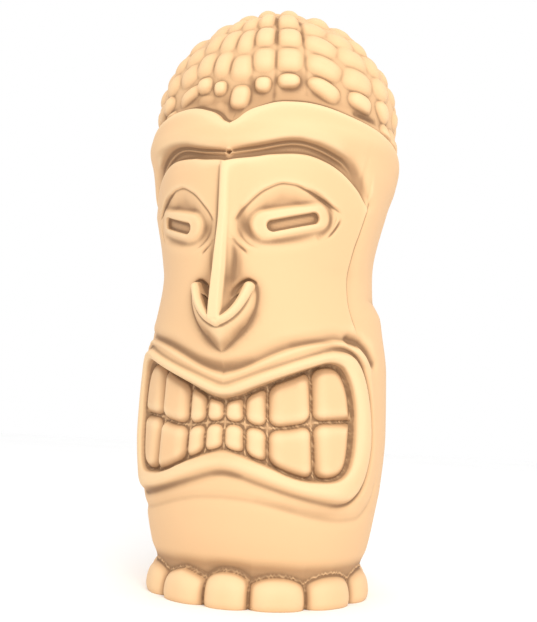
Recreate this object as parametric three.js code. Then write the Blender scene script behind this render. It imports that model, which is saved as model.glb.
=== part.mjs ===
import * as THREE from 'three';

// Overall sizes in millimetres. The column stands on z = 0, the face looks along -Y.
const HEIGHT = 394;
const DOME_START = 318;
const DOME_LENGTH = 127;
const DOME_TOP = DOME_START + DOME_LENGTH;
const DOME_POWER = 1.1;
const FRONT_SPREAD = 75;
const FRONT_POWER = 2.5;
const CROWN_SIDE = 84.5;
const CROWN_FRONT = 78;
const CROWN_BACK = 82;
const CROWN_BROW = [[280, 86.5], [290, 85.5], [300, 81], [310, 78.5], [318, CROWN_FRONT]];
// Millimetres along the skin for one degree round the column
const PER_DEGREE = (80 * Math.PI) / 180;

// Column radius at the sides, at the cheeks and at the front, each as [height, radius]
const SIDE_PROFILE = [
  [0, 66], [12, 66], [21, 67], [30, 70.8], [55, 76], [70, 78.6], [105, 81.4], [145, 80.8],
  [172, 77.2], [181, 75.8], [187, 73], [192, 70.4], [210, 69.6], [256, 78.8], [270, 83.4],
  [285, 86], [322, 84.2],
];
const CHEEK_PROFILE = [
  [0, 66], [12, 66], [21, 67], [30, 70.8], [58, 77], [70, 80], [102, 83], [160, 79.8], [175, 75],
  [202, 71.5], [212, 72.8], [252, 80.8], [278, 84.2], [290, 87], [300, 85.2], [322, 83.4],
];
const FRONT_PROFILE = [
  [0, 62], [12, 61], [21, 61.5], [30, 65.5], [45, 69.5], [78, 73], [100, 74], [125, 76.5],
  [140, 79.5], [150, 82], [240, 90.5], [262, 91.5], [275, 89], [288, 89], [296, 87.5], [312, 80],
  [322, 78],
];

// Guide lines on the skin, each as [degrees from the middle of the face, height]
const HAIR_LINE = [
  [0, 289], [3, 291.3], [6.2, 295.6], [10, 299], [22, 304.2], [30, 304.6], [55, 299.8], [69, 297],
  [100, 288], [130, 280], [180, 276],
];
const BROW_EDGE = [
  [0, 271.5], [11, 274.5], [29, 279.8], [49, 274], [54, 270.8], [62, 260.5], [65, 254], [69, 246],
];
const PLATE_TOP = [
  [0, 264.5], [3.4, 266], [11.3, 268], [17, 270], [31, 272.2], [43, 269.3], [60.4, 257],
  [65, 251], [69, 244],
];
const EYE_TOP = [
  [0, 222], [3.4, 227.5], [7.3, 235.9], [16, 248.3], [23.5, 252.8], [28, 252.5], [33, 250.5],
  [44, 244.7], [54, 238.8], [58, 234],
];
const EYE_LOW = [
  [0, 222], [3.2, 221], [4, 217], [5.5, 213.8], [12, 210.5], [20, 211], [42.5, 220.5], [54, 236],
  [58, 246],
];
const CHEEK_LINE = [
  [0, 139.6], [5.5, 141.2], [29, 155.2], [42.5, 160], [51.8, 162.3], [65, 161.8], [70.4, 158.5],
  [78.2, 145],
];
const LIP_TOP = [
  [0, 131.1], [6.3, 134], [45, 154.7], [54.5, 155.5], [64.2, 150.7], [66.9, 145.4], [69.7, 137],
  [72.8, 113],
];
const LIP_LOW = [
  [0, 78.1], [7.4, 77], [13.8, 74.2], [36, 65.5], [52.9, 61.5], [61.4, 62.1], [66.8, 64.6],
  [70.9, 70], [73.4, 77.9], [74.5, 92],
];
const MOUTH_TOP = [
  [0, 122], [6.7, 123.7], [20.2, 132.3], [42.7, 144.3], [48, 146], [52.7, 145], [56.2, 141.3],
  [58.9, 135.4], [60.6, 128.3], [61.5, 113],
];
const MOUTH_LOW = [
  [0, 92], [6, 90.8], [21, 84.3], [35.6, 76.4], [49, 75.4], [55.7, 77], [59.2, 80.5], [61, 86.5],
  [61.8, 100],
];
const BITE_LINE = [
  [0, 108.6], [9, 107.8], [21, 106], [26.5, 106.2], [47, 110.6], [61, 111.8],
];
const CHIN_LINE = [
  [0, 64.2], [9, 63.7], [60, 52.3], [70, 52.9], [80.2, 60.8], [84.5, 76],
];

// Side edge of the face plate, as [height, degrees]
const PLATE_SIDE = [
  [160, 67.5], [167, 65], [187, 60.8], [195, 60.7], [220, 63.6], [228, 65.2], [243, 67.6],
  [256, 70],
];

// Depths and heights of the carving
const BROW_RECESS = [[0, 4], [10, 6.5], [25, 8], [45, 8], [60, 5], [70, 1.5]];
const PLATE_EDGE_RISE = 1.3;
const PLATE_EDGE_CUT = 0.7;
const BROW_END_DIP = 3;
const PLATE_SETBACK = [[0, -1.5], [8, 1.5], [25, 4.5], [45, 5], [60, 2.5], [70, 0]];
const SOCKET_DEPTH = [[0, 0], [4, 3.2], [12, 4.2], [24, 4.6], [38, 4.8], [48, 3.2], [56, 0.5]];
const MOUTH_END = 61.6;
const LIP_END = 74.3;
const GAP_RADIUS = [[0, 71], [9, 70.2], [21, 69.6], [42, 71.2], [61, 73.5], [75, 74]];
const TOOTH_RISE = [[0, 4.6], [20, 5], [40, 5.6], [61, 5.4]];
const LIP_RISE = [[0, 1.6], [20, 2.2], [45, 2.6], [62, 2.2], [75, 1.5]];
const LIP_CUT = [[0, 0.5], [20, 0.8], [44, 1.5], [60, 2.6], [75, 2.8]];
const LIP_HOLLOW = [[63, 162], [69, 157], [73, 150]];
const CHEEK_CUT = 3;
const BAND_RISE = 1;
const CHIN_CUT = 0.7;
// Gaps between teeth: degrees at the foot of the mouth, and how much less at its top
const TOOTH_GAPS = [[0, 0], [11, 2.2], [21.7, 1.8], [44.2, 3.6], [61.6, 0]];

// Eye ring and slot: the two ends of their middle lines and their half widths
const RING_INNER = [17, 226.3];
const RING_OUTER = [40.3, 235.2];
const RING_HALF = 9.2;
const RING_TAPER = 1.2;
const SLOT_INNER = [19.4, 226.2];
const SLOT_OUTER = [37.4, 233.8];
const SLOT_HALF = 3.5;
const SLOT_DEPTH = 2.8;

// Nose: a narrow upright ridge ending in a tip with one curled wing each side
const RIDGE_HALF = [[165, 3.1], [200, 2.5], [235, 1.8], [262, 1.5]];
const RIDGE_RISE = [[150, 12.5], [165, 13], [190, 10.8], [205, 8.8], [218, 6.2], [230, 3.9], [262, 2]];
const RIDGE_FLANK = [[160, 6.5], [190, 7.5], [205, 7.5], [218, 6.5], [232, 4], [262, 2.4]];
const WING_LINE = [[0, 171.5], [4, 175.5], [7.4, 181.5], [9.6, 188.6]];
const WING_EDGE = [
  [0, 150.6], [2.6, 153.9], [5.6, 159.1], [8.9, 164], [11.8, 170.1], [14.1, 176.2],
  [14.6, 183.3], [13.8, 189.9], [10.5, 193.8], [7.2, 191.2], [5, 187.2], [3.4, 181],
];
const TIP_RISE = 13;
const CURL_RISE = 6.5;
const NOSTRIL = [[4.6, 187.5], [7, 191]];
const NOSTRIL_DEPTH = 2;

// Toes: middles in degrees on each side of the first one, which sits a little off centre
const TOE_TURN = 3.1;
const TOE_MIDDLES = [0, 24, 59.5, 86.7, 121, 154.5];
const TOE_TOPS = [20.6, 18.9, 19.8, 20.4, 20.4, 20.4];
const TOE_DROP = 5;
const TOE_NECK = 62;
const TOE_REACH = 11.5;

// Knobbed crown: upright grooves in degrees, and where the first knob starts above the hair line
const CROWN_GROOVES = [
  -180, -155, -130, -106, -82, -60, -38.8, -23.8, -14.2, -5, 6, 17.5, 31, 49.5, 71, 94, 115, 136,
  158, 180,
];
const KNOB_START = [
  [0, 300.5], [11, 307], [24, 311], [40, 306.5], [60, 300.5], [80, 295.4], [100, 289.4],
  [130, 281.4], [180, 277.4],
];
const KNOB_ROWS = 7.2;
const KNOB_RISE = 5;
const KNOB_FLOOR = -4;

// Angles of the skin's vertices on one side of the middle, for each zone of rows
const BACK_ANGLES = [82, 98, 114, 130, 146, 163];
const PLAIN_ANGLES = [4, 12, 21, 30, 39, 48, 57, 66, ...BACK_ANGLES];
const LIP_ANGLES = [64, 67, 70.5, 74.3, ...BACK_ANGLES];
const NOSE_ANGLES = [
  2.1, 3.9, 5.7, 7.6, 9.5, 11.3, 13.1, 14.9, 18, 24, 32, 41, 50, 57, 59.5, 61.2, 63, 65.5, 70,
  ...BACK_ANGLES,
];
const EYE_ANGLES = [
  2.1, 3.9, 5.7, 7.8, 9.6, 11.6, 14, 16.8, 20, 24, 28, 32, 35.4, 38.4, 41, 43.4, 45.8, 48.6, 52,
  56, 60, 62.3, 64.6, 67.5, 72, ...BACK_ANGLES,
];
const BROW_ANGLES = [3, 7, 12, 18, 24, 30, 36, 42, 47, 52, 56, 60, 64, 67, 71, ...BACK_ANGLES];
const TOE_CUTS = [0, 0.17, 0.5, 0.83];
const TOOTH_CUTS = [0.12, 0.36, 0.64, 0.88, 1];
const KNOB_CUTS = [0, 0.16, 0.5, 0.84];

const clamp = (v, lo, hi) => Math.min(hi, Math.max(lo, v));

// Smooth step from 0 at lo to 1 at hi
const step = (v, lo, hi) => {
  const t = clamp((v - lo) / (hi - lo), 0, 1);
  return t * t * (3 - 2 * t);
};

// Bell shaped bump of the given half width
const bell = (v, width) => Math.exp(-((v / width) ** 2));

const softMin = (a, b, k) => {
  const h = clamp(0.5 + (0.5 * (b - a)) / k, 0, 1);
  return b * (1 - h) + a * h - k * h * (1 - h);
};
const softMax = (a, b, k) => -softMin(-a, -b, k);

// Monotone cubic curve through the knots of a table
function curve(x, knots) {
  const last = knots.length - 1;
  const at = clamp(x, knots[0][0], knots[last][0]);
  let i = 0;
  while (i < last - 1 && at > knots[i + 1][0]) {
    i += 1;
  }
  const slope = (k) => (knots[k + 1][1] - knots[k][1]) / (knots[k + 1][0] - knots[k][0]);
  const tangent = (k) => {
    if (k === 0) {
      return slope(0);
    }
    if (k === last) {
      return slope(last - 1);
    }
    const before = slope(k - 1);
    const after = slope(k);
    return before * after <= 0 ? 0 : (2 * before * after) / (before + after);
  };
  const width = knots[i + 1][0] - knots[i][0];
  const t = (at - knots[i][0]) / width;
  const rest = 1 - t;
  return (
    knots[i][1] * (1 + 2 * t) * rest * rest +
    tangent(i) * width * t * rest * rest +
    knots[i + 1][1] * t * t * (3 - 2 * t) -
    tangent(i + 1) * width * t * t * rest
  );
}

// Distance in millimetres above a guide line, measured square to it
function above(angle, z, knots) {
  const tilt = (curve(angle + 0.5, knots) - curve(angle - 0.5, knots)) / PER_DEGREE;
  return (z - curve(angle, knots)) / Math.hypot(1, tilt);
}

// Distance to a straight stroke and how far along it the nearest point lies
function stroke(angle, z, from, to) {
  const x = (angle - from[0]) * PER_DEGREE;
  const y = z - from[1];
  const dx = (to[0] - from[0]) * PER_DEGREE;
  const dy = to[1] - from[1];
  const t = clamp((x * dx + y * dy) / (dx * dx + dy * dy), 0, 1);
  return [Math.hypot(x - t * dx, y - t * dy), t];
}

function polyline(angle, z, points) {
  let best = [Infinity, 0];
  for (let i = 0; i < points.length - 1; i += 1) {
    const [distance, t] = stroke(angle, z, points[i], points[i + 1]);
    if (distance < best[0]) {
      best = [distance, (i + t) / (points.length - 1)];
    }
  }
  return best;
}

function insideOutline(angle, z, points) {
  let inside = false;
  points.forEach((p, i) => {
    const q = points[(i + 1) % points.length];
    if (p[1] > z !== q[1] > z && angle < ((q[0] - p[0]) * (z - p[1])) / (q[1] - p[1]) + p[0]) {
      inside = !inside;
    }
  });
  return inside;
}

// Radius of an oval plan with different reaches to the side, the front and the back
function oval(theta, side, front, back) {
  const s = Math.sin(theta);
  const c = Math.cos(theta);
  return 1 / Math.hypot(s / side, c / (c > 0 ? front : back));
}

// Column radius: side profile behind, cheek profile before it, the front one in the middle
function body(a, z) {
  const cheek = curve(z, CHEEK_PROFILE);
  const side = curve(z, SIDE_PROFILE);
  const middle = Math.cos((Math.min(a, FRONT_SPREAD) * Math.PI) / 2 / FRONT_SPREAD) ** FRONT_POWER;
  return (
    cheek + (side - cheek) * step(a, 66, 98) + (curve(z, FRONT_PROFILE) - cheek) * middle
  );
}

// Brow overhang, the recess under it and the face plate
function browAndPlate(a, z, r) {
  const fromBrow = above(a, z, BROW_EDGE);
  const fromPlate = above(a, z, PLATE_TOP);
  const setback = curve(a, PLATE_SETBACK);
  const sideFade = 1 - step(a, 64, 70);
  const recess = step(fromPlate, -1, 1.6) * (1 - step(fromBrow, -1, 2.2)) * sideFade;
  let out = r - setback * (1 - step(fromBrow, -2, 2.4)) * Math.exp(Math.min(fromBrow, 0) / 28);
  out -= Math.max(curve(a, BROW_RECESS) - setback * 0.9, 0.8) * recess;
  if (fromBrow > 0) {
    out -= BROW_END_DIP * bell(fromBrow, 7) * step(a, 44, 56) * (1 - step(a, 66, 74));
  }
  const fromSide = (curve(z, PLATE_SIDE) - a) * PER_DEGREE;
  const span = step(z, 163, 172) * (1 - step(z, 244, 256));
  out += PLATE_EDGE_RISE * step(fromSide, -0.8, 0.8) * Math.exp(-Math.max(fromSide, 0) / 20) * span;
  return out - PLATE_EDGE_CUT * bell(fromSide, 1.1) * span;
}

// Almond shaped socket with a raised ring and a slot inside it
function eye(a, z, r) {
  const fromTop = above(a, z, EYE_TOP);
  const fromLow = above(a, z, EYE_LOW);
  const ends = step(a, 2.6, 4.6) * (1 - step(a, 50, 57));
  const dish = curve(a, SOCKET_DEPTH) * step(-fromTop, -0.4, 2) * step(fromLow, -1.5, 9) * ends;
  const [toRing, along] = stroke(a, z, RING_INNER, RING_OUTER);
  const fromRing = toRing - (RING_HALF - RING_TAPER * along);
  const [toSlot] = stroke(a, z, SLOT_INNER, SLOT_OUTER);
  let out = r - dish + dish * 0.88 * (1 - step(fromRing, -2, 1.6));
  out -= SLOT_DEPTH * (1 - step(toSlot - SLOT_HALF, -0.7, 0.7));
  return out;
}

// Ridge from the brow to the tip, and the curled wings with their flanks
function nose(a, z, r) {
  const base = (body(0, z) + body(a, z)) / 2;
  const across = a * PER_DEGREE;
  const half = curve(z, RIDGE_HALF);
  const crest = 1 - step(across, half, half + curve(z, RIDGE_FLANK));
  const ends = step(z, 163, 169) * (1 - step(above(a, z, PLATE_TOP), -1.6, 0.8));
  let out = r + curve(z, RIDGE_RISE) * crest * ends;
  if (insideOutline(a, z, [[-5, 150], ...WING_EDGE, [-5, 181]])) {
    const [toLine, along] = polyline(a, z, WING_LINE);
    const [toEdge] = polyline(a, z, WING_EDGE);
    const flank = toEdge / (toEdge + Math.max(toLine - 3.6 + 0.6 * along, 0) + 1e-6);
    out = Math.max(out, base + (TIP_RISE - CURL_RISE * along) * Math.min(1, flank * 1.1));
  }
  const [toNostril] = polyline(a, z, NOSTRIL);
  return out - NOSTRIL_DEPTH * bell(toNostril, 2);
}

// Distance in millimetres inside the open mouth
function mouthInside(a, z) {
  const upAndDown = softMin(-above(a, z, MOUTH_TOP), above(a, z, MOUTH_LOW), 3);
  return softMin(upAndDown, (MOUTH_END - a) * PER_DEGREE, 6);
}

// Cheek groove, the band over the lip, the rolled lip and the line under the chin band
function lips(a, z, r, mouth) {
  const fromCheek = above(a, z, CHEEK_LINE);
  const fromLip = above(a, z, LIP_TOP);
  const sideFade = 1 - step(a, 66, 79);
  let out = r - CHEEK_CUT * bell(fromCheek > 0 ? fromCheek * 0.75 : fromCheek, 2.8) * sideFade;
  const [toHollow] = polyline(a, z, LIP_HOLLOW);
  out -= 2 * bell(toHollow, 4);
  const upAndDown = softMin(-fromLip, above(a, z, LIP_LOW), 4);
  const inLip = softMin(upAndDown, (LIP_END - a) * PER_DEGREE, 8);
  if (mouth < 0 && inLip > 0) {
    const across = inLip / (inLip - mouth + 1e-6);
    out += curve(a, LIP_RISE) * Math.sin(Math.PI * across ** 0.8) ** 0.75;
  }
  out -= curve(a, LIP_CUT) * bell(inLip > 0 ? inLip * 0.7 : inLip * 1.3, 1.8);
  if (fromCheek < 0 && fromLip > 0) {
    out += BAND_RISE * Math.sin((Math.PI * -fromCheek) / (fromLip - fromCheek)) * sideFade;
  }
  return out - CHIN_CUT * bell(above(a, z, CHIN_LINE), 1.6) * (1 - step(a, 80, 86));
}

// Pillow shaped teeth standing on the floor of the mouth
function teeth(a, z, r, mouth) {
  if (mouth < -1.6) {
    return r;
  }
  const bite = curve(a, BITE_LINE);
  const tall = Math.abs(curve(a, z > bite ? MOUTH_TOP : MOUTH_LOW) - bite);
  const gaps = toothGaps(z);
  const i = clamp(gaps.findIndex((g) => g > a) - 1, 0, 3);
  const wide = (gaps[i + 1] - gaps[i]) * PER_DEGREE;
  const fromGap = Math.min(a - gaps[i], gaps[i + 1] - a) * PER_DEGREE;
  const fromEdge = Math.min(Math.abs(z - bite), mouth);
  const round = clamp(Math.min(wide, tall) * 0.42, 2.5, 6);
  const x = 1 - clamp((fromGap - 0.5) / round, 0, 1);
  const y = 1 - clamp((fromEdge - 0.6) / round, 0, 1);
  const swell = mouth > 0 ? Math.sqrt(1 - Math.min(1, x * x + y * y)) : 0;
  const open = step(mouth, -1.6, 1.4);
  return r * (1 - open) + open * (curve(a, GAP_RADIUS) + curve(a, TOOTH_RISE) * swell);
}

// Degrees from the first toe to each crease between toes on one side
const toeEnds = () => TOE_MIDDLES.slice(1).map((m, i) => (m + TOE_MIDDLES[i]) / 2);

// Ring of rounded toes round the foot
function toes(degrees, z, r) {
  if (z > Math.max(...TOE_TOPS) + 2.5) {
    return r;
  }
  const turned = Math.abs(((((degrees - TOE_TURN) % 360) + 540) % 360) - 180);
  const ends = [...toeEnds(), 180];
  const i = ends.findIndex((e) => turned <= e);
  const from = i === 0 ? -ends[0] : ends[i - 1];
  const x = clamp(Math.abs(turned - (from + ends[i]) / 2) / ((ends[i] - from) / 2), 0, 1);
  const top = TOE_TOPS[i] - TOE_DROP * x ** 2.2;
  const upright = Math.sqrt(1 - clamp(z / top, 0, 1) ** 3.2);
  const across = 0.18 + 0.82 * Math.sqrt(1 - x ** 3);
  const under = 1 - 0.12 * (1 - clamp(z / 5, 0, 1)) ** 2;
  const toe = TOE_NECK + TOE_REACH * upright * across * under;
  return softMax(z < top + 2 ? toe : 0, r, 1);
}

// Height of the crown knobs, 0 in the grooves and 1 on top
function knob(degrees, s) {
  const a = Math.abs(degrees);
  const first = curve(a, KNOB_START);
  const grooves = CROWN_GROOVES;
  const i = degrees >= 180 ? grooves.length - 2 : grooves.findIndex((g) => g > degrees) - 1;
  const shrink = clamp((DOME_TOP - s) / 110, 0.15, 1);
  const wide = (grooves[i + 1] - grooves[i]) * PER_DEGREE * shrink;
  const across = (degrees - grooves[i]) / (grooves[i + 1] - grooves[i]);
  const pitch = (DOME_TOP - first) / KNOB_ROWS;
  const row = (s - first) / pitch;
  const up = row - Math.floor(row);
  const round = clamp(Math.min(wide, pitch) * 0.45, 1, 6.5);
  const x = 1 - clamp((Math.min(across, 1 - across) * wide) / round, 0, 1);
  const y = 1 - clamp((Math.min(up, 1 - up) * pitch + 0.4) / round, 0, 1);
  return row < 0 ? 0 : Math.sqrt(1 - Math.min(1, x * x + 0.8 * y * y));
}

// One point of the skin. Up to the dome s is the height, over it s is the length along the dome.
function skin(degrees, s) {
  const theta = (degrees * Math.PI) / 180;
  const a = Math.abs(degrees);
  const swell = knob(degrees, s);
  let r;
  let z = s;
  if (s <= DOME_START) {
    r = eye(a, s, browAndPlate(a, s, body(a, s)));
    r = nose(a, s, r);
    const mouth = mouthInside(a, s);
    r = teeth(a, s, lips(a, s, r, mouth), mouth);
    r = toes(degrees, s, r);
    const fromHair = above(a, s, HAIR_LINE);
    const wall = oval(theta, CROWN_SIDE, curve(s, CROWN_BROW), CROWN_BACK) + KNOB_FLOOR;
    const hair = step(fromHair, -0.3, 1.8);
    r = r * (1 - hair) + hair * (wall + KNOB_RISE * swell * step(fromHair, 1, 4));
  } else {
    const phi = ((s - DOME_START) / DOME_LENGTH) * (Math.PI / 2);
    const reach = oval(theta, CROWN_SIDE, CROWN_FRONT, CROWN_BACK);
    const rise = HEIGHT - DOME_START;
    const fade = step(DOME_TOP - s, 0, 24);
    const lift = (KNOB_FLOOR + KNOB_RISE * swell) * fade - (1 - fade);
    const length = Math.hypot(Math.cos(phi) / reach, Math.sin(phi) / rise);
    r = reach * Math.cos(phi) ** DOME_POWER + (lift * Math.cos(phi)) / reach / length;
    z = DOME_START + rise * Math.sin(phi) ** DOME_POWER + (lift * Math.sin(phi)) / rise / length;
  }
  return [r * Math.sin(theta), -r * Math.cos(theta), z];
}

// Rows of the skin. Each stretch runs up to a guide line in the given fractions.
const follow = (knots, until) => (a) => curve(Math.min(a, until), knots);
const level = (z) => () => z;
const ringLine = (offset) => (a) => offset + curve(a, [[14, 225.5], [40, 235.5], [62, 227]]);
const shifted = (line, offset) => (a) => line(a) + offset;
const lipLow = follow(LIP_LOW, 61);
const mouthLow = follow(MOUTH_LOW, 50);
const bite = follow(BITE_LINE, 61);
const mouthTop = follow(MOUTH_TOP, 50);
const lipTop = follow(LIP_TOP, 57);
const cheek = follow(CHEEK_LINE, 65);
const eyeTop = (a) => curve(clamp(a, 8, 44), EYE_TOP);
const plateTop = follow(PLATE_TOP, 64);
const browEdge = follow(BROW_EDGE, 64);
const hairLine = (a) => curve(a, HAIR_LINE);
const knobStart = (a) => curve(a, KNOB_START);

// Angles all the way round from those on one side
const bothSides = (angles) => [-180, ...angles.map((a) => -a).reverse(), 0, ...angles];

// Angles at the given cuts between each pair of limits
const between = (limits, cuts) =>
  limits.slice(0, -1).flatMap((from, i) => cuts.map((c) => from + (limits[i + 1] - from) * c));

const toothGaps = (z) => {
  const fall = clamp((z - 78) / 62, -0.2, 1.2);
  return TOOTH_GAPS.map(([low, less]) => low - less * fall);
};
const toeCreases = () => {
  const ends = toeEnds();
  return [...ends.map((e) => -e).reverse(), ...ends].map((e) => e + TOE_TURN);
};
const footZone = () => {
  const creases = toeCreases();
  const round = [...creases, creases[0] + 360];
  return between(round, TOE_CUTS).map((a) => (a >= 180 ? a - 360 : a)).sort((a, b) => a - b);
};
const plainZone = () => bothSides(PLAIN_ANGLES);
const mouthZone = (z) => bothSides([...between(toothGaps(z), TOOTH_CUTS), ...LIP_ANGLES]);
const noseZone = () => bothSides(NOSE_ANGLES);
const eyeZone = () => bothSides(EYE_ANGLES);
const browZone = () => bothSides(BROW_ANGLES);
const crownZone = () => between(CROWN_GROOVES, KNOB_CUTS);
const STRETCHES = [
  [footZone, level(0), [0]],
  [footZone, level(24), [0.2, 0.45, 0.65, 0.82, 1]],
  [plainZone, follow(CHIN_LINE, 70), [0.25, 0.6, 1]],
  [mouthZone, lipLow, [0.5, 1]],
  [mouthZone, shifted(mouthLow, -1), [0.3, 0.65, 1]],
  [mouthZone, shifted(mouthLow, 1.4), [1]],
  [mouthZone, shifted(bite, -3), [0.25, 0.6, 1]],
  [mouthZone, bite, [1]],
  [mouthZone, shifted(bite, 3), [1]],
  [mouthZone, shifted(mouthTop, -1.4), [0.4, 0.75, 1]],
  [mouthZone, shifted(mouthTop, 1), [1]],
  [mouthZone, lipTop, [0.4, 0.75, 1]],
  [mouthZone, cheek, [0.5, 1]],
  [noseZone, shifted(cheek, 3.6), [1]],
  [noseZone, level(198), [0.13, 0.26, 0.38, 0.5, 0.61, 0.72, 0.82, 0.91, 1]],
  [eyeZone, ringLine(-9.8), [0.45, 0.85, 1]],
  [eyeZone, ringLine(-4), [0.3, 0.65, 1]],
  [eyeZone, ringLine(-3), [1]],
  [eyeZone, ringLine(3), [1]],
  [eyeZone, ringLine(4), [1]],
  [eyeZone, ringLine(9.8), [0.35, 0.7, 1]],
  [eyeZone, shifted(eyeTop, -2), [1]],
  [eyeZone, shifted(eyeTop, 0.6), [1]],
  [eyeZone, shifted(plateTop, -1.2), [0.55, 1]],
  [browZone, shifted(plateTop, 1.6), [1]],
  [browZone, shifted(browEdge, -1), [1]],
  [browZone, shifted(browEdge, 2.2), [1]],
  [browZone, shifted(hairLine, -0.4), [0.35, 0.7, 1]],
  [crownZone, shifted(hairLine, 1.8), [1]],
  [crownZone, knobStart, [1]],
];
const LEAST_ROW = 0.6;
const KNOB_STEPS = [0.2, 0.8, 1];
const CAP_STEPS = [0.5, 1];
// Steps for each ring of knobs, from the hair line to the top
const RING_STEPS = [...Array(5).fill(KNOB_STEPS), ...Array(2).fill(CAP_STEPS)];

// The zone of each row, and for one angle the height that each row passes it at
function rowZones() {
  const zones = STRETCHES.flatMap(([zone, , fractions]) => fractions.map(() => zone));
  return [...zones, ...RING_STEPS.flat().map(() => crownZone)];
}

function rowsAt(a) {
  const rows = [];
  let previous = 0;
  STRETCHES.forEach(([, line, fractions]) => {
    const next = line(a);
    fractions.forEach((f) => {
      const lowest = rows.length ? rows[rows.length - 1] + LEAST_ROW : 0;
      rows.push(Math.max(lowest, previous + (next - previous) * f));
    });
    previous = Math.max(next, rows[rows.length - 1]);
  });
  const pitch = (DOME_TOP - previous) / KNOB_ROWS;
  RING_STEPS.forEach((steps, k) => steps.forEach((f) => rows.push(previous + pitch * (k + f))));
  return rows;
}

// Triangles between two rings of vertices, always stepping on to the nearer next angle
function zip(lower, upper, faces) {
  let i = 0;
  let j = 0;
  const next = (ring, k) => (k < ring.angles.length ? ring.angles[k] : ring.angles[0] + 360);
  const at = (ring, k) => ring.start + (k % ring.angles.length);
  while (i < lower.angles.length || j < upper.angles.length) {
    const stepLower =
      j >= upper.angles.length ||
      (i < lower.angles.length && next(lower, i + 1) <= next(upper, j + 1));
    if (stepLower) {
      faces.push(at(lower, i), at(lower, i + 1), at(upper, j));
      i += 1;
    } else {
      faces.push(at(lower, i), at(upper, j + 1), at(upper, j));
      j += 1;
    }
  }
}

function statueGeometry() {
  const positions = [];
  const faces = [];
  const middle = rowsAt(30);
  const rings = rowZones().map((zone, row) => {
    const angles = zone(middle[row]);
    const start = positions.length / 3;
    angles.forEach((angle) => positions.push(...skin(angle, rowsAt(Math.abs(angle))[row])));
    return { angles, start };
  });
  rings.slice(1).forEach((ring, k) => zip(rings[k], ring, faces));
  const centre = positions.length / 3;
  positions.push(0, 0, 0, 0, 0, skin(0, DOME_TOP)[2]);
  const foot = rings[0];
  const cap = rings[rings.length - 1];
  foot.angles.forEach((_, i) => {
    faces.push(centre, foot.start + ((i + 1) % foot.angles.length), foot.start + i);
  });
  cap.angles.forEach((_, i) => {
    faces.push(centre + 1, cap.start + i, cap.start + ((i + 1) % cap.angles.length));
  });
  const geometry = new THREE.BufferGeometry();
  geometry.setAttribute('position', new THREE.Float32BufferAttribute(positions, 3));
  geometry.setIndex(faces);
  geometry.computeVertexNormals();
  return geometry;
}

const statue = new THREE.Mesh(
  statueGeometry(),
  new THREE.MeshStandardMaterial({ color: 0xf2d6a4, roughness: 0.75, metalness: 0 }),
);
statue.name = 'tiki_statue';

const group = new THREE.Group();
group.name = 'tiki_statue_part';
group.add(statue);

export default group;
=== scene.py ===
"""A cast tiki statue: a column with a carved face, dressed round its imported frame."""

import math

import bpy
import numpy as np
from bpy.props import FloatProperty, FloatVectorProperty, IntProperty, PointerProperty
from mathutils import Matrix, Vector
from mathutils.geometry import delaunay_2d_cdt


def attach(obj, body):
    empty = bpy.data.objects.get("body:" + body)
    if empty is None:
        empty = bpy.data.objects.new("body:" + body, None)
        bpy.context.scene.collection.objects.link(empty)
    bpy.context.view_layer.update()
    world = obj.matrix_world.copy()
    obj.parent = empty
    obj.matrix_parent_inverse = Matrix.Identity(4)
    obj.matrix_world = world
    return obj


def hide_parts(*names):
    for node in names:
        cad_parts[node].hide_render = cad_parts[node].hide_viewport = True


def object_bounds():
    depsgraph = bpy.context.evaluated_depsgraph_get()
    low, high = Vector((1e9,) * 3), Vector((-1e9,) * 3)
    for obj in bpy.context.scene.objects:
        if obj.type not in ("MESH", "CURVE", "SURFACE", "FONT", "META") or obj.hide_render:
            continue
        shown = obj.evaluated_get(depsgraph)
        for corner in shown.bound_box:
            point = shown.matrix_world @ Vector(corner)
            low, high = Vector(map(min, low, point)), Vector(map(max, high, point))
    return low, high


bl_info = {
    "name": "Tiki statue",
    "version": (1, 0, 0),
    "blender": (4, 5, 0),
    "location": "View3D > Sidebar > Tiki",
    "description": "Builds a cast tiki statue and a plain studio round it",
    "category": "Object",
}

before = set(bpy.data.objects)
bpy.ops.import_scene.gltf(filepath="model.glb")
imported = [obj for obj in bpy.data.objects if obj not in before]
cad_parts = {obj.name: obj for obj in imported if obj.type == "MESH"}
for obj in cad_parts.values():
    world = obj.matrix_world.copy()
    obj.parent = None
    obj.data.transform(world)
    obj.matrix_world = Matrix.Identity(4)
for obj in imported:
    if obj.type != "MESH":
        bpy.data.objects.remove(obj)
CAD_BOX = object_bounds()

# Overall sizes in millimetres. The column stands on z = 0, the face looks along -Y.
HEIGHT = 394
DOME_START = 318
DOME_LENGTH = 127
DOME_TOP = DOME_START + DOME_LENGTH
DOME_POWER = 1.1
FRONT_SPREAD = 75
FRONT_POWER = 2.5
CROWN_SIDE = 84.5
CROWN_FRONT = 78
CROWN_BACK = 82
CROWN_BROW = [[280, 86.5], [290, 85.5], [300, 81], [310, 78.5], [318, CROWN_FRONT]]
# Millimetres along the skin for one degree round the column
PER_DEGREE = math.radians(80)

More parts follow.
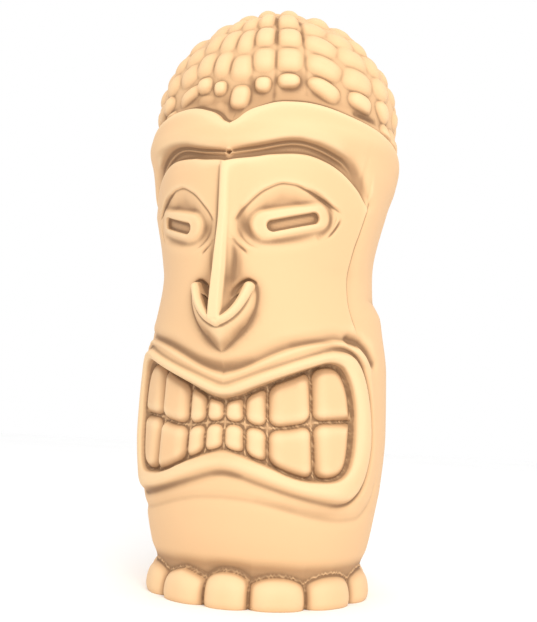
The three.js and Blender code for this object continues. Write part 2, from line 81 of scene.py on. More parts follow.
# Column radius at the sides, at the cheeks and at the front, each as [height, radius]
SIDE_PROFILE = [
    [0, 66], [12, 66], [21, 67], [30, 70.8], [55, 76], [70, 78.6], [105, 81.4], [145, 80.8],
    [172, 77.2], [181, 75.8], [187, 73], [192, 70.4], [210, 69.6], [256, 78.8], [270, 83.4],
    [285, 86], [322, 84.2],
]
CHEEK_PROFILE = [
    *SIDE_PROFILE[:4], [58, 77], [70, 80], [102, 83], [160, 79.8], [175, 75], [202, 71.5],
    [212, 72.8], [252, 80.8], [278, 84.2], [290, 87], [300, 85.2], [322, 83.4],
]
FRONT_PROFILE = [
    [0, 62], [12, 61], [21, 61.5], [30, 65.5], [45, 69.5], [78, 73], [100, 74], [125, 76.5],
    [140, 79.5], [150, 82], [240, 90.5], [262, 91.5], [275, 89], [288, 89], [296, 87.5], [312, 80],
    [322, 78],
]

# Guide lines on the skin, each as [degrees from the middle of the face, height]
HAIR_LINE = [
    [0, 289], [3, 291.3], [6.2, 295.6], [10, 299], [22, 304.2], [30, 304.6], [55, 299.8],
    [69, 297], [100, 288], [130, 280], [180, 276],
]
BROW_EDGE = [
    [0, 271.5], [11, 274.5], [29, 279.8], [49, 274], [54, 270.8], [62, 260.5], [65, 254],
    [69, 246],
]
PLATE_TOP = [
    [0, 264.5], [3.4, 266], [11.3, 268], [17, 270], [31, 272.2], [43, 269.3], [60.4, 257],
    [65, 251], [69, 244],
]
EYE_TOP = [
    [0, 222], [3.4, 227.5], [7.3, 235.9], [16, 248.3], [23.5, 252.8], [28, 252.5], [33, 250.5],
    [44, 244.7], [54, 238.8], [58, 234],
]
EYE_LOW = [
    [0, 222], [3.2, 221], [4, 217], [5.5, 213.8], [12, 210.5], [20, 211], [42.5, 220.5], [54, 236],
    [58, 246],
]
CHEEK_LINE = [
    [0, 139.6], [5.5, 141.2], [29, 155.2], [42.5, 160], [51.8, 162.3], [65, 161.8], [70.4, 158.5],
    [78.2, 145],
]
LIP_TOP = [
    [0, 131.1], [6.3, 134], [45, 154.7], [54.5, 155.5], [64.2, 150.7], [66.9, 145.4], [69.7, 137],
    [72.8, 113],
]
MOUTH_TOP = [
    [0, 122], [6.7, 123.7], [20.2, 132.3], [42.7, 144.3], [48, 146], [52.7, 145], [56.2, 141.3],
    [58.9, 135.4], [60.6, 128.3], [61.5, 113],
]
MOUTH_LOW = [
    [0, 92], [6, 90.8], [21, 84.3], [35.6, 76.4], [49, 75.4], [55.7, 77], [59.2, 80.5], [61, 86.5],
    [61.8, 100],
]
# Closed outlines of the lip's outer edge and of the open mouth
LIP_EDGE = [
    [-13.8, 137.5], [-6.3, 134], *LIP_TOP[:4], [61.5, 153], [66.3, 147], [69.6, 138], [72, 126],
    [73.6, 113], [74.3, 100], [74, 88], [72.4, 78], [69.8, 70.5], [66, 65], [61.4, 61.8],
    [52.9, 60.9], [36, 65.5], [13.8, 74.2], [7.4, 77], [0, 78.1], [-7.4, 77], [-13.8, 74.2],
]
MOUTH_EDGE = [
    [-13, 127.5], [-6.7, 123.7], *MOUTH_TOP[:8], [60.9, 128], [62, 120], [62.5, 111], [62.3, 100],
    [61.6, 90], [59.8, 82], *MOUTH_LOW[5::-1], [-6, 90.8], [-13, 88],
]
BITE_LINE = [[0, 108.6], [9, 107.8], [21, 106], [26.5, 106.2], [47, 110.6], [61, 111.8]]
CHIN_LINE = [[0, 64.2], [9, 63.7], [60, 52.3], [70, 52.9], [80.2, 60.8], [84.5, 76]]

# Side edge of the face plate, as [height, degrees]
PLATE_SIDE = [
    [160, 67.5], [167, 65], [187, 60.8], [195, 60.7], [220, 63.6], [228, 65.2], [243, 67.6],
    [256, 70],
]

# Depths and heights of the carving
BROW_RECESS = [[0, 4], [10, 6.5], [25, 8], [45, 8], [60, 5], [70, 1.5]]
PLATE_EDGE_RISE = 1.3
PLATE_EDGE_CUT = 0.7
SETBACK_FADE = 28
BROW_END_DIP = 3
BROW_ROLL = 2.5
LEDGE_DROP = 1.2
LEDGE_RISE = 1.5
STUD_HEIGHT = 271
STUD_HALF = 1.9
STUD_RISE = 0.8
PLATE_SETBACK = [[0, -1.5], [8, 1.5], [25, 4.5], [45, 5], [60, 2.5], [70, 0]]
SOCKET_DEPTH = [[0, 0], [4, 3.2], [12, 4.2], [24, 4.6], [38, 4.8], [48, 3.2], [56, 0.5]]
GAP_RADIUS = [[0, 71], [9, 70.2], [21, 69.6], [42, 71.2], [61, 74.3], [75, 75]]
TOOTH_RISE = [[0, 4.6], [20, 5], [40, 5.6], [61, 5.4]]
LIP_RISE = [[0, 1.8], [20, 2.3], [45, 2.7], [62, 2.4], [75, 1.8]]
LIP_CUT = [[0, 0.35], [20, 0.5], [44, 0.9], [58, 1.9], [75, 2.6]]
LIP_CUT_LOW = [[0, 1.3], [20, 1.1], [44, 1.1], [58, 1.6], [75, 2.4]]
LIP_HOLLOW = [[59.5, 161.5], [67, 159.5], [72, 155], [76.5, 149]]
LIP_HOLLOW_DEPTH = 2.6
LIP_HOLLOW_WIDTH = 3.6
CHEEK_CUT = 2.8
CHEEK_WIDTH = 3.6
BAND_RISE = 1
CHIN_CUT = 1.1
CHIN_WIDTH = 3
# Gaps between teeth: degrees at the foot of the mouth, and how much less at its top
TOOTH_GAPS = [[0, 0], [11, 2.2], [21.7, 1.8], [44.2, 3.6], [71, 0]]
# The share of a tooth that its rounded edge takes
TOOTH_SHOULDER = 0.48

# Thin wavy bead in the creases between teeth and over the toes
BEAD_RISE = 0.8
BEAD_WIDTH = 0.55
BEAD_WAVE = 0.35
BEAD_LENGTH = 3.7

# Eye ring and slot: the two ends of their middle lines and their half widths
RING_ENDS = [[17, 226.3], [40.3, 235.2]]
RING_HALF = 9.2
RING_TAPER = 1.2
RING_SLOPE = 2.6
RING_LIFT = 0.85
SLOT_ENDS = [[19.4, 226.2], [37.4, 233.8]]
SLOT_HALF = 3.5
SLOT_DEPTH = 3.2
# Socket: the share of its depth dropped at the rim, and over how far the rest falls
RIM_SHARE = 0.3
SOCKET_FALL = 11
# Depth of the cut along the rim, and the fine lines cut inside with their depths
RIM_CUT = [[3, 0.55], [13, 0.5], [20, 0.3], [27, 0.25], [33, 0.8], [40, 0.9], [50, 0.6]]
SOCKET_LINES = [
    ([[31, 251.8], [36, 250], [41, 247.2], [47, 242.2]], 1),
    ([[35, 248], [40, 245.8], [45, 242], [48.5, 238.2]], 0.8),
    ([[42.8, 220.6], [47.4, 225.6], [50.6, 232], [52, 239]], 1.1),
    ([[46, 226], [48.5, 231], [49.6, 236], [49.4, 240]], 0.6),
    ([[3.6, 220.5], [5.3, 214.4], [8.1, 210.9], [11.5, 208.8]], 0.8),
    ([[5.4, 225], [7.2, 218.4], [10.6, 213.4], [16, 210.8]], 0.7),
    ([[6.2, 214], [8, 211], [9.4, 208.8], [10.4, 206.4]], 0.7),
]
SOCKET_LINE_WIDTH = 0.9

# Nose: a narrow upright ridge ending in a tip, with one curled roll and its flank on each side
RIDGE_HALF = [[165, 3.1], [200, 2.5], [235, 1.8], [262, 1.5]]
RIDGE_SIDE = 1.6
RIDGE_STEEP = 0.75
RIGHT_STEEP = 0.22
RIDGE_RISE = [[150, 12.5], [165, 13], [190, 10.8], [205, 8.8], [218, 6.2], [230, 3.9], [262, 2]]
RIDGE_FLANK = [[160, 6.5], [190, 7.5], [205, 7.5], [218, 6.5], [232, 4], [262, 2.4]]
# How far the ridge leans off the middle at its foot, and how much wider its right flank is
RIDGE_LEAN = 1
RIDGE_SKIRT = [[165, 10], [176, 8.5], [186, 4], [194, 0.5], [215, 1], [240, 6], [262, 7]]
RIDGE_CREASE = [[3.4, 220], [4.9, 212], [5.2, 204], [4.8, 196], [4.6, 188]]
CREASE_DEPTH = 0.7
ROLL_LINE = [[0, 166.5], [3.7, 169.6], [6.6, 174.1], [9, 180.2], [10.4, 185.6], [11, 188.6]]
ROLL_HALF = 3.1
ROLL_DROP = 3
WING_EDGE = [
    [0, 149.9], [1.8, 151.2], [4.4, 155], [7.9, 160], [11.3, 166.5], [13.6, 173.3], [14.6, 180],
    [14.4, 187], [13, 191], [10.5, 192.6], [8, 190.6], [6, 186], [4.4, 180],
]
TIP_RISE = 13
CURL_RISE = 6.5
NOSTRIL = [[13.2, 191], [10.8, 193], [8.4, 191.3], [6.3, 187.4], [5.6, 183.4]]
NOSTRIL_DEPTH = 3.2

# Toes: middles in degrees on each side of the first one, which sits a little off centre
TOE_TURN = 3.1
TOE_MIDDLES = [0, 24, 59.5, 86.7, 121, 154.5]
TOE_TOPS = [20.6, 18.9, 19.8, 20.4, 20.4, 20.4]
TOE_PEAK = 0.8
TOE_DROP = 5
TOE_NECK = 62
TOE_REACH = 11.5
TOE_CLEFT = 0.26
TOE_UNDERCUT = 0.12

# Knobbed crown. Each knob seen from the front, as [degrees, place along the skin, half length,
# half height, turn in degrees, how high it stands]
KNOBS = [
    [79, 300, 8, 6, -35, 0.8], [76.5, 314.5, 9.5, 7.5, -50, 0.9], [60, 313.8, 10.6, 6.8, -16, 1],
    [40.6, 317.5, 12.8, 7.4, -33, 1], [24, 321.2, 8, 7.2, 0, 1], [11.8, 318.2, 6.1, 7, 0, 0.95],
    [1.2, 309.5, 7.6, 9.3, -4, 1], [-9.6, 318, 5.4, 6.4, 0, 0.9], [-19, 322.5, 7, 8, 0, 0.9],
    [-28.2, 317.5, 12, 6, 29, 0.8], [-17.6, 310.5, 7.5, 4.2, -8, 0.4],
    [-7.5, 304, 6.8, 3.7, -25, 0.3], [-42, 304, 8, 6, 34, 0.8], [-47, 317, 8.5, 8, 35, 0.9],
    [75.4, 332, 11.5, 11.5, -40, 0.95], [58.8, 330.5, 14, 12, -14, 1],
    [40.8, 336, 14.4, 10.6, -28, 1], [23.9, 340, 10.6, 12.2, 0, 1], [11.6, 339.5, 9.4, 12.4, 0, 1],
    [0.8, 333, 9.2, 13.4, 0, 1], [-9.8, 338.5, 8, 13.4, 0, 0.95], [-20.6, 341, 8.8, 12.6, 0, 0.9],
    [-31.5, 336, 10.6, 10.6, 28, 0.85], [-46, 334, 10.4, 11, 34, 0.9],
    [73.5, 350.5, 11, 11.5, -25, 0.9], [58.6, 350, 14, 11.6, -12, 1],
    [40.8, 355.5, 14, 10.8, -32, 1], [24.2, 361.5, 10, 12.4, 0, 1.1],
    [10.6, 362.5, 8.6, 13, 0, 1.1], [0, 359, 7.4, 15.5, 0, 0.95], [-10.6, 361, 8, 15.5, 0, 0.95],
    [-21.8, 363, 9, 13, 0, 0.9], [-33.6, 353.5, 10.4, 11.4, 22, 0.85],
    [-47, 352, 10.4, 11, 25, 0.9], [72, 368.5, 10, 10.6, -15, 0.9],
    [56, 366, 11.4, 11.4, -18, 0.9], [39.4, 375, 11.6, 11.4, -36, 0.9],
    [23.8, 383.5, 9.4, 13.4, 0, 1.2], [8.4, 386, 7.4, 14, 0, 1.2], [-3, 384, 7.2, 13.8, 0, 0.95],
    [-15, 384, 7.4, 12.6, 0, 0.9], [-28, 376, 9.4, 12, 20, 0.85], [-46, 370.5, 9.4, 10.6, 20, 0.9],
    [-42, 393, 8.5, 11, 15, 0.9], [-20, 402, 7.6, 10.5, 0, 0.95], [2.5, 405, 7.6, 11.5, 0, 1.15],
    [27.5, 404, 8.2, 11.5, 0, 1.15], [52, 393, 9, 11, -20, 1], [75, 389, 9, 10.5, -15, 0.9],
]
# Upright seams between columns of knobs, as lines over the skin, each with its depth up the skin
SEAMS = [
    ([[17.2, 304], [17.6, 322], [17.8, 345], [17, 370], [16, 402]],
     [[304, 1.1], [322, 1], [331, 0.3], [362, 0.3], [371, 1.2], [402, 1.6]]),
    ([[32.4, 312], [32, 334], [31.8, 350], [32, 372], [33, 392]],
     [[312, 0.9], [334, 0.6], [350, 0.5], [362, 1], [392, 1.1]]),
    ([[5.6, 330], [5.4, 350], [4.6, 372], [3.6, 396]],
     [[330, 0.2], [360, 0.2], [372, 0.6], [396, 0.6]]),
]
SEAM_WIDTH = 1.3
# The other knobs stand in rings. Degrees and height along the skin of the part listed above
LISTED_FROM = -54
LISTED_TO = 84
LISTED_TOP = 409
RING_FIRST = 282
RING_STEP = 17.3
RING_PITCH = 19.5
RING_RISE = 0.8
RING_SEED = 5
KNOB_RISE = 5
KNOB_FLOOR = -4
KNOB_JOIN = 3.5
KNOB_POWER = 2.5
KNOB_TURN_MOST = 110
BED_LEVEL = 0.36
HAIR_FILLET = 1.8
# The hollow under one knob at the hair line, as a stroke
HAIR_PIT = [[56.5, 304.4], [65, 304.6]]
HAIR_PIT_WIDTH = 2.2
HAIR_PIT_DEPTH = 0.9

# Strokes of painted shade where shade falls: a line over the skin, its half width and strength
SHADE_STROKES = [
    ([[-7.5, 164.5], [-5, 158], [-0.8, 154.2], [3, 155.4]], 3.4, 0.95),
    ([[5.5, 158], [10.3, 165.2], [13.6, 172.2]], 2, 0.9),
    ([[-9.1, 172.7], [-5.5, 167.2], [-0.5, 163.3], [4.1, 166], [9.6, 175], [12, 184]], 1.2, 0.55),
    ([[5.5, 210], [5.8, 203], [5.2, 195.8], [4.6, 189.8], [4.3, 183.5]], 2, 0.5),
    ([[4.6, 184], [5.8, 187.6], [7.4, 190.8], [10.5, 192.7]], 0.9, 1.2),
    ([[-10, 192], [-8.3, 190], [-6.7, 186.1], [-5.9, 182.2]], 1.1, 1.2),
    ([[35.1, 248.8], [41.2, 244.6], [45.6, 238], [46.3, 229.6], [40.1, 222.1]], 1.5, 1.1),
    ([[34, 250], [40, 246.6], [45.4, 242.7]], 1.1, 1.3),
    ([[-33, 250], [-41.2, 244.6], [-45.6, 238]], 2, 0.9),
    ([[7.1, 236], [6.9, 229], [8.9, 222.5], [13.7, 217.6]], 1.6, 0.7),
    ([[52.2, 235.8], [50.2, 230.8], [45.9, 224.5]], 0.8, 0.9),
    ([[-5.2, 228], [-6.4, 220.4], [-10.6, 215]], 2.2, 0.5),
    ([[12.5, 215.1], [24.6, 217], [37.1, 221.6]], 1.8, 0.45),
    ([[-12.5, 215.1], [-24.6, 217], [-37.1, 221.6]], 1.8, 0.4),
    ([[58, 161.4], [66, 160.4], [72, 156], [76.5, 150]], 1.8, 0.95),
    ([[30, 155.5], [45, 158.6], [56.9, 156.8], [63.4, 152.4], [68, 147]], 1.6, 0.5),
    ([[-50, 281.5], [-40, 281.8], [-26, 280.6], [-12, 277]], 2.6, 0.6),
    ([[4.5, 273.8], [16.7, 277], [29.7, 279.4]], 1.8, 0.3),
    ([[37.9, 278.5], [48.7, 274.6], [57.7, 268.5], [64, 259.4]], 2.4, 0.6),
    ([[57.5, 304.9], [63.5, 304.6], [69, 304]], 1.4, 2.2),
    ([[14.6, 400], [16.4, 378]], 1.6, 0.7), ([[16.8, 368], [17.2, 355]], 1.5, 0.7),
    ([[17.4, 313.1], [17.2, 305]], 1.3, 0.6), ([[33.4, 387], [32.4, 368]], 1.5, 0.6),
    ([[29.6, 329], [31, 321], [28.5, 315.4], [22, 314.6]], 1.5, 0.8),
    ([[6.2, 323.6], [6.9, 314.4], [11.5, 311.2]], 1.3, 0.7),
    ([[-28.9, 311.1], [-20.5, 308.2], [-13.7, 307.4]], 2.2, 0.5),
    ([[-6.7, 309.2], [-4, 302.7], [0.8, 299.5]], 1.5, 0.6),
    ([[-56, 314], [-50, 309], [-43.7, 306]], 2.4, 0.5),
    ([[-60, 62.5], [-49, 64.5], [-34.1, 65], [-16.7, 70], [-4.8, 75.5]], 3, 0.45),
    ([[-6, 77.5], [0.4, 79.6], [8, 77.5]], 1.8, 0.5),
    ([[-62.9, 161.5], [-46, 160.6], [-27.4, 155], [-11.1, 146], [0, 141.6], [12, 145]], 2.2, 0.45),
    ([[-40, 140.4], [-21.3, 130.4], [-7.7, 124], [0, 122], [9, 123.8], [18, 128], [32, 134]],
     2.6, 0.85),
    ([[32, 134], [44, 140.4], [54, 143.5]], 1.6, 0.5),
    ([[18, 65.4], [34, 60.6], [50, 56.6], [62, 58]], 2, 0.4),
]
SHADE_STROKE_ENDS = 0.25
SHADE_STROKE_SPREAD = 1.4
# Strength of the painted shade above the toes and between them, and how far it reaches
TOE_SHADE = 0.8
TOE_SHADE_UP = 7.5
TOE_SHADE_WIDE = 2.2

# Samples round the skin and up it, and the pitch of those kept everywhere
LATTICE = (1152, 1024)
COARSEST = 16
# The finest carving is wanted about these degrees. Less is needed behind and on the dome
FACE_TURN = 20
BACK_SAVING = 0.86
DOME_SAVING = 0.6
LEAST_NEED = 0.02
# Length of skin that is closed by a flat cap at the very top
CAP = 1.5
# Reaches in millimetres of the averages below which a spot counts as hollow
HOLLOWS = {"hollow_fine": 1.3, "hollow_mid": 3, "hollow_wide": 8}
# Reach in millimetres of the painted shade spread round the hollows
HALO = 3.2

# Camera, from the picture: place in metres, bearing, tilt and lean in degrees, lens in millimetres
CAMERA_PLACE = (0.19951, -0.5693, 0.11023)
CAMERA_TURNS = (19.352, 7.086, 2.482)
CAMERA_LENS = 51.216

# Studio, in metres: half the floor's side, the key lamp and the place it looks at
FLOOR_HALF = 3.0
KEY_PLACE = (0.7, -1.22, 1.0)
KEY_TARGET = (0, 0, 0.2)
KEY_SIZE = 1.0
KEY_COLOUR = (1.0, 0.97, 0.9)


def step(value, low, high):
    """Smooth step from 0 at low to 1 at high: 3 t squared less 2 t cubed."""
    t = np.clip((value - low) / (high - low), 0, 1)
    return t * t * (3 - 2 * t)


def bell(value, width):
    """Bell shaped bump: e to the minus square of value over width."""
    return np.exp(-((value / width) ** 2))


def soft_min(a, b, reach):
    """The lesser of two values, rounded off where they are within reach of each other."""
    h = np.clip(0.5 + 0.5 * (b - a) / reach, 0, 1)
    return b * (1 - h) + a * h - reach * h * (1 - h)


def curve(x, knots):
    """Cubic through the knots. The slope at a knot is the harmonic mean of its neighbours'."""
    xs, ys = np.array(knots, float).T
    gap = np.diff(xs)
    slope = np.diff(ys) / gap
    before, after = slope[:-1], slope[1:]
    turning = before * after <= 0
    mean = 2 * before * after / np.where(turning, 1, before + after)
    tangent = np.concatenate([slope[:1], np.where(turning, 0, mean), slope[-1:]])
    at = np.clip(x, xs[0], xs[-1])
    i = np.clip(np.searchsorted(xs, at, side="right") - 1, 0, len(gap) - 1)
    t = (at - xs[i]) / gap[i]
    rest = 1 - t
    return (
        ys[i] * (1 + 2 * t) * rest**2
        + tangent[i] * gap[i] * t * rest**2
        + ys[i + 1] * t * t * (3 - 2 * t)
        - tangent[i + 1] * gap[i] * t * t * rest
    )


def above(angle, z, knots):
    """Distance above a guide line: the rise divided by the root of 1 plus its slope squared."""
    tilt = (curve(angle + 0.5, knots) - curve(angle - 0.5, knots)) / PER_DEGREE
    return (z - curve(angle, knots)) / np.hypot(1, tilt)


def picked(near, *grids):
    """The values of each grid at the picked places."""
    return [np.broadcast_to(grid, near.shape)[near] for grid in grids]


def stroke(angle, z, start, end):
    """Distance to a straight stroke, and how far along it the nearest point lies."""
    x, y = (angle - start[0]) * PER_DEGREE, z - start[1]
    dx, dy = (end[0] - start[0]) * PER_DEGREE, end[1] - start[1]
    t = np.clip((x * dx + y * dy) / (dx * dx + dy * dy), 0, 1)
    return np.hypot(x - t * dx, y - t * dy), t


def polyline(angle, z, points):
    """Distance to a bent stroke, and how far along it the nearest point lies."""
    shape = np.broadcast(angle, z).shape
    nearest, along = np.full(shape, np.inf), np.zeros(shape)
    count = len(points) - 1
    for i in range(count):
        distance, t = stroke(angle, z, points[i], points[i + 1])
        closer = distance < nearest
        nearest = np.where(closer, distance, nearest)
        along = np.where(closer, (i + t) / count, along)
    return nearest, along


def rounded(points, rounds=2):
    """The line with its corners cut twice over: each stretch keeps its middle half."""
    for _ in range(rounds):
        p = np.array(points, float)
        near, far = p[:-1] * 0.75 + p[1:] * 0.25, p[:-1] * 0.25 + p[1:] * 0.75
        cut = np.stack([near, far], 1).reshape(-1, 2)
        points = [p[0], *cut[1:-1], p[-1]]
    return [list(point) for point in points]


def inside_outline(angle, z, points):
    """True inside a closed outline: a level line from there crosses it an odd number of times."""
    inside = np.zeros(np.broadcast(angle, z).shape, bool)
    for (x0, y0), (x1, y1) in zip(points, points[1:] + points[:1]):
        if y0 != y1:
            crosses = (y0 > z) != (y1 > z)
            inside ^= crosses & (angle < (x1 - x0) * (z - y0) / (y1 - y0) + x0)
    return inside


def oval(theta, side, front, back):
    """Oval radius: 1 over the length of the pair (sine / side, cosine / front or back)."""
    s, c = np.sin(theta), np.cos(theta)
    return 1 / np.hypot(s / side, c / np.where(c > 0, front, back))


def body(a, z):
    """Column radius: the cheek profile, which a smooth step of the angle turns into the side one.

    In the middle a power of the cosine turns it into the front profile.
    """
    cheek = curve(z, CHEEK_PROFILE)
    middle = np.cos(np.minimum(a, FRONT_SPREAD) * (np.pi / 2 / FRONT_SPREAD)) ** FRONT_POWER
    side = (curve(z, SIDE_PROFILE) - cheek) * step(a, 66, 98)
    return cheek + side + (curve(z, FRONT_PROFILE) - cheek) * middle


def brow_and_plate(a, z, r):
    """Brow overhang, the recess under it with its ledge, and the face plate.

    The radius less depths by angle times smooth steps of the distance from the brow's edge and
    the plate's. Bells of such distances are the ledge, the stud and the plate's rim.
    """
    from_brow = above(a, z, BROW_EDGE)
    from_plate = above(a, z, PLATE_TOP)
    setback = curve(a, PLATE_SETBACK)
    side_fade = 1 - step(a, 64, 70)
    end = step(a, 46, 60)
    over_plate = step(from_plate, -1, 1.6)
    recess = over_plate * (1 - step(from_brow, -0.6 - end, 2.2 + 4 * end)) * side_fade
    fall = np.exp(np.minimum(from_brow, 0) / SETBACK_FADE)
    out = r - setback * (1 - step(from_brow, -2, 2.4 + 3 * end)) * fall
    out -= np.maximum(curve(a, BROW_RECESS) - setback * 0.9 - BROW_ROLL, 0.8) * recess
    out -= BROW_ROLL * (1 - step(from_brow, -1, 10)) ** 2 * over_plate * side_fade
    out += LEDGE_RISE * bell(from_brow + LEDGE_DROP, 0.75) * recess * (1 - end)
    to_stud = np.hypot(a * PER_DEGREE, z - STUD_HEIGHT)
    out += STUD_RISE * (bell(to_stud - STUD_HALF, 0.8) - 2.5 * bell(to_stud, 1.3))
    dip = BROW_END_DIP * bell(from_brow, 8) * step(a, 44, 58) * (1 - step(a, 66, 76))
    out -= dip * step(from_brow, -1, 5)
    from_side = (curve(z, PLATE_SIDE) - a) * PER_DEGREE
    span = step(z, 163, 172) * (1 - step(z, 244, 256))
    rise = step(from_side, -0.8, 0.8) * np.exp(-np.maximum(from_side, 0) / 20)
    return out + (PLATE_EDGE_RISE * rise - PLATE_EDGE_CUT * bell(from_side, 1.1)) * span


def eye(a, z, r):
    """Almond shaped socket, falling from a crisp rim to a raised ring, with a slot inside that.

    A depth by angle times smooth steps of the distance inside its edges. Ring and slot are such
    steps of the distance from a stroke, and each cut line is a bell of it.
    """
    from_top = above(a, z, EYE_TOP)
    from_low = above(a, z, EYE_LOW)
    ends = step(a, 2.6, 4.6) * (1 - step(a, 50, 57))
    fall = RIM_SHARE * step(-from_top, -0.4, 0.7)
    fall = fall + (1 - RIM_SHARE) * step(-from_top, 0, SOCKET_FALL)
    dish = curve(a, SOCKET_DEPTH) * fall * step(from_low, -1, 14) * ends
    to_ring, along = stroke(a, z, *RING_ENDS)
    from_ring = to_ring - (RING_HALF - RING_TAPER * along)
    to_slot, _ = stroke(a, z, *SLOT_ENDS)
    out = r - dish + dish * RING_LIFT * (1 - step(from_ring, -RING_SLOPE, RING_SLOPE))
    rim = step(a, 3, 7) * (1 - step(a, 50, 55)) * step(from_low, 2, 8)
    out -= curve(a, RIM_CUT) * bell(from_top + 0.8, 1.1) * rim
    for line, deep in SOCKET_LINES:
        near = (np.abs(a - line[1][0]) < 12) & (np.abs(z - line[1][1]) < 14)
        away, along = polyline(*picked(near, a, z), rounded(line))
        fade = np.sin(np.pi * np.clip(along, 0.02, 0.98)) ** 0.7
        out[near] -= deep * bell(away, SOCKET_LINE_WIDTH) * fade
    return out - SLOT_DEPTH * (1 - step(to_slot - SLOT_HALF, -0.6, 0.6))


def nose(degrees, z, r):
    """Ridge from the brow to the tip, and on each side a curled roll over a falling flank.

    The ridge is a rise by height times a smooth step and a power of the share of its skirt left.
    A wing is the greater, softened, of a power of 1 less the square of the share of the way off
    the roll's line, and a power of the share of the way in from its edge.
    """
    a = np.abs(degrees)
    base = (body(0 * a, z) + body(a, z)) / 2
    lean = RIDGE_LEAN * (1 - step(z, 170, 206))
    from_bar = np.abs(degrees * PER_DEGREE + lean) - curve(z, RIDGE_HALF)
    left = 1 - step(degrees, -0.5, 0.5)
    steep = RIDGE_STEEP * (RIGHT_STEEP + (1 - RIGHT_STEEP) * left)
    steep = steep * (0.55 + 0.45 * step(z, 172, 192))
    crest = steep * (1 - step(from_bar, -0.5, RIDGE_SIDE))
    skirt = curve(z, RIDGE_FLANK) + curve(z, RIDGE_SKIRT) * (1 - left)
    soft = np.clip(1 - (from_bar + 0.6) / (skirt + 0.6), 0, 1)
    crest = crest + (1 - steep) * soft**1.9
    ends = step(z, 163, 169) * (1 - step(above(a, z, PLATE_TOP), -1.6, 0.8))
    out = r + curve(z, RIDGE_RISE) * crest * ends
    near = (a < 18) & (z > 147) & (z < 217)
    x, y, foot, face = picked(near, a, z, base, out)
    roll_line, outline = rounded(ROLL_LINE), rounded(WING_EDGE)
    to_line, along = polyline(x, y, roll_line)
    to_edge, _ = polyline(x, y, outline)
    below = inside_outline(x, y, [[-4, 150], *outline, *roll_line[::-1], [-4, ROLL_LINE[0][1]]])
    top = TIP_RISE - CURL_RISE * along
    share = to_edge / (to_edge + np.maximum(to_line - ROLL_HALF, 0) + 1e-6)
    flank = np.where(below, (top - ROLL_DROP) * share**0.9, 0)
    q = np.minimum(to_line / ROLL_HALF, 1)
    roll = top - ROLL_DROP + ROLL_DROP * (1 - q * q) ** 1.4
    roll = roll * (1 - step(to_line, ROLL_HALF - 0.8, ROLL_HALF + 1))
    fallen = -flank + 0.8 * bell(to_line - ROLL_HALF, 1.3)
    wing = np.maximum(-soft_min(fallen, -roll, 0.8) - 0.2, 0)
    edge = step(wing, 0, 4)
    wing = face + (foot - face) * edge + wing
    face = np.where(edge > 0, -soft_min(-face, -wing, 0.1 + 1.6 * edge), face)
    to_nostril, along = polyline(x, y, rounded(NOSTRIL))
    hole = bell(to_nostril, 0.9 + 0.7 * along) * np.sin(np.pi * np.clip(along * 0.8 + 0.15, 0, 1))
    to_crease, along = polyline(x, y, rounded(RIDGE_CREASE))
    fold = bell(to_crease, 1.3) * np.sin(np.pi * np.clip(along, 0.03, 0.97)) ** 0.7
    out[near] = face - NOSTRIL_DEPTH * hole - CREASE_DEPTH * fold
    return out


def distance_inside(a, z, outline):
    """Distance in millimetres inside a closed outline, less than nought outside it."""
    near = (a < 90) & (z > 48) & (z < 170)
    x, y = picked(near, a, z)
    points = rounded(outline)
    away, _ = polyline(x, y, points)
    inside = np.full(near.shape, -60.0)
    inside[near] = np.where(inside_outline(x, y, points), away, -away)
    return inside


def lips(a, z, r, mouth):
    """Cheek groove, the band over the lip, the rolled lip and the line under the chin band.

    Grooves are bells of the distance from a line. Band and lip are powers of half a sine wave of
    the share of the way across them.
    """
    from_cheek = above(a, z, CHEEK_LINE)
    from_lip = above(a, z, LIP_TOP)
    side_fade = 1 - step(a, 66, 79)
    groove = bell(np.where(from_cheek > 0, from_cheek * 0.75, from_cheek), CHEEK_WIDTH)
    out = r - CHEEK_CUT * groove * side_fade
    to_hollow, _ = polyline(a, z, LIP_HOLLOW)
    out -= LIP_HOLLOW_DEPTH * bell(to_hollow, LIP_HOLLOW_WIDTH)
    in_lip = distance_inside(a, z, LIP_EDGE)
    rolled = (mouth < 0) & (in_lip > 0)
    across = np.where(rolled, in_lip / (in_lip - mouth + 1e-6), 0)
    softness = 1.8 - step(a, 46, 62)
    out += curve(a, LIP_RISE) * np.sin(np.pi * across) ** softness
    low = 1 - step(z, 84, 110)
    cut = curve(a, LIP_CUT) * (1 - low) + curve(a, LIP_CUT_LOW) * low
    cut_width = 2.6 - 1.2 * step(a, 46, 62) * (1 - 0.5 * low)
    out -= cut * bell(in_lip * np.where(in_lip > 0, 0.8, 1), cut_width)
    band = (from_cheek < 0) & (from_lip > 0)
    share = np.where(band, -from_cheek / (from_lip - from_cheek + 1e-6), 0)
    out += BAND_RISE * np.sin(np.pi * share) ** 2 * side_fade
    return out - CHIN_CUT * bell(above(a, z, CHIN_LINE), CHIN_WIDTH) * (1 - step(a, 78, 88))


def stitch(distance, along):
    """A thin wavy bead laid in the bottom of a crease, 1 at its highest."""
    turn = 2 * np.pi * along / BEAD_LENGTH
    wave = BEAD_WAVE * np.sin(turn + 1.7 * np.sin(turn * 0.29))
    return bell(distance + wave, BEAD_WIDTH) * (0.7 + 0.3 * np.sin(turn * 0.43))


def tooth_gaps(z):
    """Degrees of the gaps between the teeth at a height. The mouth runs 62 mm up from 78 mm."""
    fall = np.clip((z - 78) / 62, -0.2, 1.2)
    return [low - less * fall for low, less in TOOTH_GAPS]


